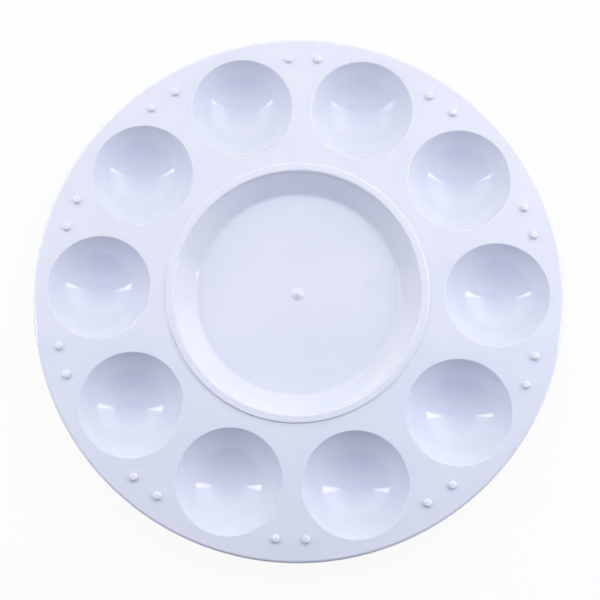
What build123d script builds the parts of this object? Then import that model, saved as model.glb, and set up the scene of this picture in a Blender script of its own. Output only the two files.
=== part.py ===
from build123d import *
from math import acos, asin, cos, degrees, hypot, radians, sin, sqrt, tan
import os

# Round mixing palette, moulded in one thin wall of white plastic.
#
# A flat deck carries ten bowl-shaped paint wells in a ring, a wide shallow mixing dish inside a
# raised ring, pairs of small pips between the wells, and an edge turned down all round.
# The moulding is divided along these features, and the pieces meet face to face.
#
# Millimetres, +Z up. The origin is the centre of the plane that the wells stand on.

# ------------------------------------------------------------------ driving dimensions
#
# The wells stand as close together as well_gap allows, which sets the radius of their ring.
# From there the deck, the raised ring and the dish follow inward, and the rim outward.

wall = 1.2  # thickness of the moulded wall, everywhere

# paint wells
well_count = 10
well_mouth_r = 16.6  # where the bowl's sphere would cut the deck
well_depth = 12.0  # from the deck to the inside bottom
well_lip_fillet = 0.35  # rounding of the mouth
well_root_fillet = 0.5  # under the deck, where the bowl leaves it
well_foot_r = 3.0  # small flat under each bowl, on which the palette stands
well_collar = 0.1  # flat deck left outside the root's rounding, up to the seam

# flat deck between the seams
well_gap = 3.3  # between two wells
ring_gap = 2.6  # between a well and the raised ring
rim_gap = 0.95  # between a well and the rim

# raised ring round the mixing dish
ring_width = 2.6
ring_height = 0.6  # above the deck
ring_face = 1.1  # steep inner face, from the ring's top down to the dish's sloping wall
ring_face_draft = 12.0  # degrees, it leans outward going up
ring_face_fillet = 1.4  # between that face and the wall
ring_inner_fillet = 0.6  # top edge over the dish
ring_outer_fillet = 0.4  # top edge over the deck
ring_foot_fillet = 0.15  # where it stands on the deck
ring_collar = 0.8  # flat deck left outside the ring, up to the seam

# mixing dish
dish_depth = 6.2  # from the deck to the floor
dish_slope = 6.2  # how far the wall leans inward from the ring's face to the floor
dish_fillet = 1.6  # between floor and wall
dish_seam_drop = 0.5  # from the deck's underside down to the seam in the wall

# gate pip, the stub that the mould's gate leaves in the middle of the floor
gate_r = 2.3
gate_top_r = 0.3
gate_height = 1.1
gate_fillet = 0.25

# deck pips, in pairs outside the gaps between the wells
pip_r = 1.3
pip_height = 1.1
pip_fillet = 0.75
pip_spacing = 9.5  # between the two of a pair
pip_inset = 4.85  # from the rim's seam in to a pip's centre

# outer rim, the edge turned down
rim_height = 4.0  # from the deck to its lower edge
rim_draft = 3.0  # degrees, it flares outward going down
rim_fillet = 1.0  # rounded upper edge
rim_inner_fillet = 0.3  # inside of that edge
rim_foot_fillet = 0.35  # both lower edges
rim_collar = 1.2  # flat deck left inside the rounded edge, up to the seam

# ------------------------------------------------------------------ sizes that follow

bowl_r = (well_mouth_r**2 + well_depth**2) / (2 * well_depth)  # inside sphere of a well
bowl_rise = bowl_r - well_depth  # the sphere's centre, above the deck
shell_r = bowl_r + wall  # outside sphere of a well
bowl_z = sqrt(shell_r**2 - well_foot_r**2)  # the sphere's centre, above the ground

deck_z = bowl_z - bowl_rise  # upper face of the deck
web_z = deck_z - wall  # lower face of the deck
floor_z = deck_z - dish_depth
ring_z = deck_z + ring_height
ring_face_z = ring_z - ring_face
dish_seam_z = web_z - dish_seam_drop
rim_z = deck_z - rim_height

well_angle = 360 / well_count
well_root_r = sqrt(shell_r**2 - (bowl_rise + wall) ** 2)  # where a bowl leaves the deck's underside
well_seam_r = well_root_r + well_root_fillet + well_collar
well_ring_r = (well_seam_r + well_gap / 2) / sin(radians(well_angle / 2))

ring_seam_r = well_ring_r - well_seam_r - ring_gap
ring_outer_r = ring_seam_r - ring_collar - ring_foot_fillet
ring_inner_r = ring_outer_r - ring_width
ring_face_r = ring_inner_r - ring_face * tan(radians(ring_face_draft))
dish_floor_r = ring_face_r - dish_slope

rim_seam_r = well_ring_r + well_seam_r + rim_gap
rim_top_r = rim_seam_r + rim_collar + rim_fillet
outer_r = rim_top_r + rim_height * tan(radians(rim_draft))
pip_ring_r = rim_seam_r - pip_inset


def upright(x=0, y=0):
    """Sketch plane that holds an upright axis: its X runs out from the axis, its Y is up."""
    return Plane(origin=(x, y, 0), x_dir=(1, 0, 0), z_dir=(0, -1, 0))


def upright_axis(x=0, y=0):
    return Axis((x, y, 0), (0, 0, 1))


def round_corner(profile, point, radius):
    """Round the corner of a profile that lies nearest to a point."""
    corner = profile.vertices().sort_by_distance(point)[0]
    fillet(corner, radius=radius)


def write(piece, name):
    piece.part.label = name
    export_step(piece.part, f"parts/{name}.step")


# ------------------------------------------------------------------ deck


def deck_plate():
    """Flat web with a hole for each well and one for the dish."""
    with BuildPart() as deck:
        with BuildSketch(Plane.XY.offset(web_z)):
            Circle(rim_seam_r)
            Circle(ring_seam_r, mode=Mode.SUBTRACT)
            with PolarLocations(well_ring_r, well_count):
                Circle(well_seam_r, mode=Mode.SUBTRACT)
        extrude(amount=wall)
    return deck


def outer_rim():
    """Rounded edge, turned down into a short skirt."""
    with BuildPart() as rim:
        with BuildSketch(upright()) as profile:
            with BuildLine():
                Polyline(
                    (rim_seam_r, web_z),
                    (rim_seam_r, deck_z),
                    (rim_top_r, deck_z),
                    (outer_r, rim_z),
                    (outer_r - wall, rim_z),
                    (rim_top_r - wall, web_z),
                    close=True,
                )
            make_face()
            round_corner(profile, (rim_top_r, deck_z), rim_fillet)
            round_corner(profile, (rim_top_r - wall, web_z), rim_inner_fillet)
            round_corner(profile, (outer_r, rim_z), rim_foot_fillet)
            round_corner(profile, (outer_r - wall, rim_z), rim_foot_fillet)
        revolve(axis=upright_axis())
    return rim


# ------------------------------------------------------------------ paint wells


def paint_well(x, y):
    """Bowl of one wall thickness between two spheres, with a rounded mouth and a small foot."""
    mouth_angle = degrees(asin(bowl_rise / bowl_r))
    web_angle = degrees(asin((bowl_rise + wall) / shell_r))
    foot_angle = degrees(acos(well_foot_r / shell_r))
    with BuildPart() as well:
        with BuildSketch(upright(x, y)) as profile:
            with BuildLine():
                inside = CenterArc((0, bowl_z), bowl_r, -90, 90 - mouth_angle)
                outside = CenterArc((0, bowl_z), shell_r, -foot_angle, foot_angle - web_angle)
                Polyline(inside @ 1, (well_seam_r, deck_z), (well_seam_r, web_z), outside @ 1)
                Polyline(outside @ 0, (0, 0), inside @ 0)
            make_face()
            round_corner(profile, inside @ 1, well_lip_fillet)
            round_corner(profile, outside @ 1, well_root_fillet)
        revolve(axis=upright_axis(x, y))
    return well


# ------------------------------------------------------------------ mixing dish


def slope_r(z, outside=0.0):
    """Radius of the dish's sloping wall at a height, on its inside or a distance outside it."""
    rise = ring_face_z - floor_z
    lean = (z - floor_z) * dish_slope / rise
    return dish_floor_r + lean + outside * hypot(dish_slope, rise) / rise


def centre_piece(keep):
    """Dish, ring and the deck round them, cut level at the seam: the piece above or below it."""
    under_z = floor_z - wall
    under_r = slope_r(under_z, wall)
    with BuildPart() as piece:
        with BuildSketch(upright()) as profile:
            with BuildLine():
                Polyline(
                    (0, floor_z),
                    (dish_floor_r, floor_z),
                    (ring_face_r, ring_face_z),
                    (ring_inner_r, ring_z),
                    (ring_outer_r, ring_z),
                    (ring_outer_r, deck_z),
                    (ring_seam_r, deck_z),
                    (ring_seam_r, web_z),
                    (slope_r(web_z, wall), web_z),
                    (under_r, under_z),
                    (0, under_z),
                    close=True,
                )
            make_face()
            round_corner(profile, (dish_floor_r, floor_z), dish_fillet)
            round_corner(profile, (under_r, under_z), dish_fillet + wall)
            round_corner(profile, (ring_face_r, ring_face_z), ring_face_fillet)
            round_corner(profile, (ring_inner_r, ring_z), ring_inner_fillet)
            round_corner(profile, (ring_outer_r, ring_z), ring_outer_fillet)
            round_corner(profile, (ring_outer_r, deck_z), ring_foot_fillet)
        revolve(axis=upright_axis())
        split(bisect_by=Plane.XY.offset(dish_seam_z), keep=keep)
    return piece


def mixing_dish_ring():
    """Raised ring with the flat deck outside it and the top of the dish's wall inside it."""
    return centre_piece(Keep.TOP)


def mixing_dish():
    """Flat floor and the rest of the sloping wall."""
    return centre_piece(Keep.BOTTOM)


def gate_pip():
    """Low cone with a rounded top, in the middle of the dish floor."""
    with BuildPart() as gate:
        with BuildSketch(upright()) as profile:
            with BuildLine():
                Polyline(
                    (0, floor_z),
                    (gate_r, floor_z),
                    (gate_top_r, floor_z + gate_height),
                    (0, floor_z + gate_height),
                    close=True,
                )
            make_face()
            round_corner(profile, (gate_top_r, floor_z + gate_height), gate_fillet)
        revolve(axis=upright_axis())
    return gate


# ------------------------------------------------------------------ deck pips


def deck_pips():
    """Short round pips on the deck, a pair outside each gap between two wells."""
    half_spread = degrees(asin(pip_spacing / 2 / pip_ring_r))
    with BuildPart() as pips:
        with BuildSketch(Plane.XY.offset(deck_z)):
            for side in (-half_spread, half_spread):
                with PolarLocations(pip_ring_r, well_count, start_angle=well_angle / 2 + side):
                    Circle(pip_r)
        extrude(amount=pip_height)
        fillet(pips.edges().group_by(Axis.Z)[-1], radius=pip_fillet)
    return pips


# ------------------------------------------------------------------ build and write

os.makedirs("parts", exist_ok=True)

write(deck_plate(), "deck_plate")
write(outer_rim(), "outer_rim")
write(mixing_dish_ring(), "mixing_dish_ring")
write(mixing_dish(), "mixing_dish")
write(gate_pip(), "gate_pip")
write(deck_pips(), "deck_pips")
for number in range(well_count):
    x = well_ring_r * cos(radians(number * well_angle))
    y = well_ring_r * sin(radians(number * well_angle))
    write(paint_well(x, y), f"paint_well_{number + 1:02d}")
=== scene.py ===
import math

import bpy
from mathutils import Euler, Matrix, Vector


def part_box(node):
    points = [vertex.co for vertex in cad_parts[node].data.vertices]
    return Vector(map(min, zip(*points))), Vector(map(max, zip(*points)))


# Round white mixing palette of glossy moulded plastic, seen from above at the front of a light tent.
#
# The palette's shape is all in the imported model. This script gives it its plastic, and adds the
# table, the light and the camera.

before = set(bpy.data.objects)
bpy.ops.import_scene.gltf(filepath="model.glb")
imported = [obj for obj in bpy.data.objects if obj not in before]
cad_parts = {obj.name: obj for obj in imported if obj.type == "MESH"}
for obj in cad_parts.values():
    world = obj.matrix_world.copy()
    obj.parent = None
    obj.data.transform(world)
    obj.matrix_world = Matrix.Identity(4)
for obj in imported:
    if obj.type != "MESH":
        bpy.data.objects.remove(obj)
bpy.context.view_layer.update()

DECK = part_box("deck_plate")[1].z  # height of the deck's upper face
MM = 0.001

# ---------------------------------------------------------------- helpers


def new_material(name):
    """Material with an empty node tree, its nodes and its links."""
    material = bpy.data.materials.new(name)
    material.use_nodes = True
    tree = material.node_tree
    tree.nodes.clear()
    return material, tree.nodes, tree.links


def node(nodes, kind, values=None, **settings):
    """Node of a kind, with its settings and the values of its unlinked sockets."""
    made = nodes.new("ShaderNode" + kind)
    for name, value in settings.items():
        setattr(made, name, value)
    for socket, value in (values or {}).items():
        made.inputs[socket].default_value = value
    return made


def staged_mesh(name, points, faces, material):
    """Mesh that isn't part of the object: the table or a wall of the studio."""
    mesh = bpy.data.meshes.new(name)
    mesh.from_pydata(points, [], faces)
    mesh.materials.append(material)
    made = bpy.data.objects.new(name, mesh)
    bpy.context.scene.collection.objects.link(made)
    return made


# ---------------------------------------------------------------- plastic
#
# One injection-moulded plastic, a cool white with a high gloss. It is very slightly cloudy, its
# surface waves a little as mouldings do, and use has left faint smears, hairline scratches, a few
# dark specks set in the plastic and a duller top on everything that stands proud of the deck.

# Colours of the clean plastic, of its clouds, its specks, its rubbed tops and its scratches.
PALE = (0.78, 0.81, 0.92, 1)
CLOUDY = (0.75, 0.785, 0.905, 1)
SPECK = (0.30, 0.29, 0.32, 1)
RUBBED = (0.79, 0.82, 0.91, 1)
SCORED = (0.66, 0.68, 0.76, 1)

GLOSS = 0.035  # roughness of the clean plastic
SMEAR, RUB, SCORE = 0.035, 0.10, 0.12  # what each of these adds to it
WAVE_DEPTH, GRAIN_DEPTH, SCRATCH_DEPTH = 0.045 * MM, 0.0012 * MM, 0.003 * MM

material, nodes, links = new_material("white_plastic")
position = node(nodes, "TexCoord").outputs["Object"]


def noise(size, detail=2.0, where=position):
    """Soft noise whose blotches are about as wide as size, in metres."""
    made = node(nodes, "TexNoise", {"Scale": 1 / size, "Detail": detail, "Roughness": 0.5})
    links.new(where, made.inputs["Vector"])
    return made.outputs["Fac"]


def ramp(value, low, high, bottom=0.0, top=1.0):
    """Value stretched so that low gives bottom and high gives top, and flat beyond them."""
    made = node(nodes, "MapRange", {1: low, 2: high, 3: bottom, 4: top})
    links.new(value, made.inputs[0])
    return made.outputs[0]


def sums(operation, *values):
    """Arithmetic on values, each of them a socket or a plain number."""
    made = node(nodes, "Math", operation=operation)
    for index, value in enumerate(values):
        if isinstance(value, (int, float)):
            made.inputs[index].default_value = value
        else:
            links.new(value, made.inputs[index])
    return made.outputs[0]


def blend(share, first, second):
    """Colour that goes from the first to the second as share goes from 0 to 1."""
    made = node(nodes, "Mix", data_type="RGBA")
    links.new(share, made.inputs[0])
    for index, colour in ((6, first), (7, second)):
        if isinstance(colour, tuple):
            made.inputs[index].default_value = colour
        else:
            links.new(colour, made.inputs[index])
    return made.outputs[2]


def bump(height, depth, under=None, invert=False):
    """Normal of a surface that has a height, as deep as depth, laid over the normal under it."""
    made = node(nodes, "Bump", {"Strength": 1.0, "Distance": depth}, invert=invert)
    links.new(height, made.inputs["Height"])
    if under is not None:
        links.new(under, made.inputs["Normal"])
    return made.outputs["Normal"]


def hairlines(turn, shift):
    """Thin lines that run one way and come and go, as fine scratches do."""
    place = node(nodes, "Mapping", {
        "Location": (shift, shift, 0),
        "Rotation": (0, 0, math.radians(turn)),
        "Scale": (0.06, 1, 1),  # noise drawn out into lines
    })
    links.new(position, place.inputs["Vector"])
    stretched = noise(1.1 * MM, 1.0, place.outputs["Vector"])
    line = ramp(sums("ABSOLUTE", sums("SUBTRACT", stretched, 0.5)), 0.004, 0.011, 1, 0)
    return sums("MULTIPLY", line, ramp(noise(14 * MM), 0.56, 0.66))


split = node(nodes, "SeparateXYZ")
links.new(position, split.inputs[0])
proud = ramp(split.outputs["Z"], DECK + 0.35 * MM, DECK + 0.6 * MM)  # ring and pips
rubbed = sums("MULTIPLY", proud, ramp(noise(3 * MM), 0.35, 0.65))

cell = node(nodes, "TexVoronoi", {"Scale": 1 / (8.5 * MM), "Randomness": 1.0})
links.new(position, cell.inputs["Vector"])
speck = ramp(cell.outputs["Distance"], 0.010, 0.020, 0.8, 0)  # under a fifth of a millimetre

scratches = sums("MAXIMUM", hairlines(24, 0.0), hairlines(-61, 0.37))
smears = ramp(noise(11 * MM, 4.0), 0.52, 0.72)

cloud = sums("MULTIPLY_ADD", noise(26 * MM), 0.6, sums("MULTIPLY", noise(3.5 * MM, 3.0), 0.25))
cloud = sums("MULTIPLY_ADD", noise(0.8 * MM, 1.0), 0.15, cloud)  # the three shares add up to 1
colour = blend(ramp(cloud, 0.38, 0.62), PALE, CLOUDY)
colour = blend(sums("MULTIPLY", rubbed, 0.6), colour, RUBBED)
colour = blend(sums("MULTIPLY", scratches, 0.35), colour, SCORED)
colour = blend(speck, colour, SPECK)

roughness = sums("MULTIPLY_ADD", smears, SMEAR, GLOSS)
roughness = sums("MULTIPLY_ADD", rubbed, RUB, roughness)
roughness = sums("MULTIPLY_ADD", scratches, SCORE, roughness)

normal = bump(noise(16 * MM, 1.0), WAVE_DEPTH)
normal = bump(noise(0.5 * MM, 2.0), GRAIN_DEPTH, normal)
normal = bump(scratches, SCRATCH_DEPTH, normal, invert=True)

shader = node(nodes, "BsdfPrincipled", {"IOR": 1.58})
links.new(colour, shader.inputs["Base Color"])
links.new(roughness, shader.inputs["Roughness"])
links.new(normal, shader.inputs["Normal"])
output = node(nodes, "OutputMaterial")
links.new(shader.outputs[0], output.inputs["Surface"])

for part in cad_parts.values():
    for index in range(len(part.material_slots)):
        part.material_slots[index].material = material

# ---------------------------------------------------------------- floor
#
# A plain white table. The camera sees it nearly white, with the palette's soft shadow on it.

FLOOR_HALF = 3.0
FLOOR_GLOW = 0.92  # how much of the table's white is there for the camera alone
material, nodes, links = new_material("white_table")
matt = node(nodes, "BsdfDiffuse", {"Color": (0.86, 0.86, 0.88, 1)})
white = node(nodes, "Emission", {"Color": (1, 1, 1, 1), "Strength": 1.0})
path = node(nodes, "LightPath")
share = node(nodes, "Math", {1: FLOOR_GLOW}, operation="MULTIPLY")
mix = node(nodes, "MixShader")
output = node(nodes, "OutputMaterial")
links.new(path.outputs["Is Camera Ray"], share.inputs[0])
links.new(share.outputs[0], mix.inputs[0])
links.new(matt.outputs[0], mix.inputs[1])
links.new(white.outputs[0], mix.inputs[2])
links.new(mix.outputs[0], output.inputs["Surface"])
corners = [(x * FLOOR_HALF, y * FLOOR_HALF, 0) for x, y in ((-1, -1), (1, -1), (1, 1), (-1, 1))]
staged_mesh("floor", corners, [(0, 1, 2, 3)], material)

# ---------------------------------------------------------------- light
#
# The palette stands at the open front of a cloth tent, lit from outside, with a room in front of it
# that is darkest low down in the middle. A lamp on each side outside the tent shows as a bright
# wedge past the tent's front edge. Near the table the walls at the sides are brighter, which lights
# the steep sides of the wells without lighting the deck. All of it is seen in the plastic's gloss
# and not by the camera.
#
# Each wall is named by its four corners, and its glow at each of them is given in the same order.

STEPS = 12  # each wall's grid, fine enough for an even gradient

TENT_LEFT, TENT_RIGHT, TENT_BACK, TENT_TOP = -0.345, 0.309, 0.34, DECK + 0.435
EDGE_LOW, EDGE_HIGH = 0.019, 0.041  # the tent's front edge, at the table and at the top
BAND_TOP = DECK + 0.026  # below this the tent is brighter

ROOM_SIDE, ROOM_FRONT, ROOM_TOP = 0.442, -0.15, DECK + 0.600
ROOM_BACK = 0.14  # the room's walls end behind the tent's edge
ROOM_BAND_TOP = DECK + 0.042  # below this the room's sides are brighter
ROOM_BAND_GLOW = 3.5
ROOM_BAND_IN = 0.999  # it stands just inside the room's side, at this share of its distance

LAMP_Z = DECK + 0.131
LAMP_FRONT_LOW, LAMP_FRONT_HIGH = -0.037, 0.036
LAMP_IN = 0.998

BOARD_FRONT, BOARD_BACK, BOARD_TOP = -0.015, 0.125, DECK + 0.095  # low board inside the tent
BOARD_IN = 0.99

# The plastic's cool cast comes in part from the room's ceiling, and the cloth is warmer.
WHITE = (1.0, 1.0, 1.0)
CLOTH = (1.0, 1.0, 0.95)
REAR_CLOTH = (1.02, 1.0, 0.84)
TOP_CLOTH = (1.0, 1.0, 1.08)
ROOM_WALL = (1.0, 1.0, 1.25)
FRONT_WALL = (1.0, 1.0, 1.15)
CEILING = (0.93, 1.0, 1.65)


def glow_material(name, colour):
    """Emission as strong as the mesh's own glow attribute says."""
    material, nodes, links = new_material(name)
    glow = node(nodes, "Attribute", attribute_name="glow")
    emission = node(nodes, "Emission", {"Color": (*colour, 1)})
    output = node(nodes, "OutputMaterial")
    links.new(glow.outputs["Fac"], emission.inputs["Strength"])
    links.new(emission.outputs[0], output.inputs["Surface"])
    return material


def lit_wall(name, corners, glows, colour=WHITE):
    """Four-cornered wall whose glow runs from corner to corner, slowly at first along its sides."""
    a, b, c, d = (Vector(corner) for corner in corners)
    points, glow = [], []
    for row in range(STEPS + 1):
        for column in range(STEPS + 1):
            u, v = column / STEPS, row / STEPS
            points.append(a.lerp(b, u).lerp(d.lerp(c, u), v))
            near = glows[0] + (glows[1] - glows[0]) * u * u
            far = glows[3] + (glows[2] - glows[3]) * u * u
            glow.append(near + (far - near) * v)
    width = STEPS + 1
    faces = [(i, i + 1, i + 1 + width, i + width) for i in range(width * STEPS) if i % width < STEPS]
    wall = staged_mesh(name, points, faces, glow_material(name, colour))
    wall.data.attributes.new("glow", "FLOAT", "POINT").data.foreach_set("value", glow)
    wall.visible_camera = False


def level(outline, z):
    """Corners at one height, from the x and y of each."""
    return tuple((x, y, z) for x, y in outline)


def upright_wall(name, start, end, low, high, glows, colour=WHITE):
    """Upright wall from start to end, each an x and y, and from a low to a high z."""
    lit_wall(name, (*level((start, end), low), *level((end, start), high)), glows, colour)


def tent_half(word, x, share):
    """Side, half of the rear and half of the top of the tent, for how brightly it is lit."""
    back, edge, middle = (x, TENT_BACK), (x, EDGE_LOW), (0, TENT_BACK)
    upright_wall(f"tent_band_{word}", back, edge, 0, BAND_TOP, (1.8, 5.0, 5.0, 1.8), CLOTH)
    upright_wall(f"tent_rear_band_{word}", middle, back, 0, BAND_TOP, (1.0, 1.8, 1.8, 1.0), CLOTH)

    corners = ((*back, BAND_TOP), (*edge, BAND_TOP), (x, EDGE_HIGH, TENT_TOP), (*back, TENT_TOP))
    glows = (1.25 * share, 1.1 * share, 2.35 * share, 2.0 * share)
    lit_wall(f"tent_side_{word}", corners, glows, CLOTH)

    glows = (0.6, 1.0 * share, 1.9 * share, 1.7)
    upright_wall(f"tent_rear_{word}", middle, back, BAND_TOP, TENT_TOP, glows, REAR_CLOTH)

    outline = ((0, EDGE_HIGH), (x, EDGE_HIGH), back, middle)
    glows = (0.86, 1.4 * share, 1.3 * share, 0.95)
    lit_wall(f"tent_top_{word}", level(outline, TENT_TOP), glows, TOP_CLOTH)


def room_half(word, side, low, high):
    """Side, half of the front and half of the top of the room, and the lamp."""
    x = side * ROOM_SIDE
    back, front, middle = (x, ROOM_BACK), (x, ROOM_FRONT), (0, ROOM_FRONT)
    upright_wall(f"room_side_{word}", back, front, 0, ROOM_TOP, (low, low, high, high), ROOM_WALL)

    glows = (0.0, low, 2.05 * high, 1.15)
    upright_wall(f"room_front_{word}", middle, front, 0, ROOM_TOP, glows, FRONT_WALL)

    outline = ((0, ROOM_BACK), back, front, middle)
    lit_wall(f"room_top_{word}", level(outline, ROOM_TOP), (0.64, 0.84, 0.40, 0.24), CEILING)

    band_x = x * ROOM_BAND_IN
    glows = (ROOM_BAND_GLOW,) * 4
    upright_wall(f"room_band_{word}", (band_x, EDGE_LOW), (band_x, ROOM_FRONT), 0, ROOM_BAND_TOP, glows)

    lamp_x = x * LAMP_IN
    corners = ((lamp_x, LAMP_FRONT_LOW, LAMP_Z), (lamp_x, ROOM_BACK, LAMP_Z),
               (lamp_x, ROOM_BACK, ROOM_TOP), (lamp_x, LAMP_FRONT_HIGH, ROOM_TOP))
    lit_wall(f"lamp_{word}", corners, (6.0, 6.0, 5.0, 5.0))


def board(word, x, glow):
    """Low board inside the tent, from just before its front edge."""
    front, back = (x * BOARD_IN, BOARD_FRONT), (x * BOARD_IN, BOARD_BACK)
    upright_wall(f"board_{word}", front, back, BAND_TOP, BOARD_TOP, (glow,) * 4)


tent_half("left", TENT_LEFT, 1.0)
tent_half("right", TENT_RIGHT, 1.25)
room_half("left", -1, 0.1, 0.55)
room_half("right", 1, 0.3, 0.95)
board("left", TENT_LEFT, 0.85)
board("right", TENT_RIGHT, 1.3)

# ---------------------------------------------------------------- world
#
# White, seen only beyond the table's edge.

world = bpy.data.worlds.new("world")
bpy.context.scene.world = world
world.use_nodes = True
background = world.node_tree.nodes["Background"]
background.inputs["Color"].default_value = (1, 1, 1, 1)
background.inputs["Strength"].default_value = 1.0

# ---------------------------------------------------------------- camera
#
# It looks down from in front of the palette, as the perspective of the wells and pips says.

camera_data = bpy.data.cameras.new("camera")
camera_data.sensor_width = 36
camera_data.lens = 64.6
camera = bpy.data.objects.new("camera", camera_data)
camera.location = (0.0108, -0.0589, DECK + 0.339)
camera.rotation_euler = Euler((math.radians(9.4), math.radians(1.43), math.radians(1.4)), "XYZ")
bpy.context.scene.collection.objects.link(camera)
bpy.context.scene.camera = camera
bpy.context.scene.view_settings.view_transform = "Standard"
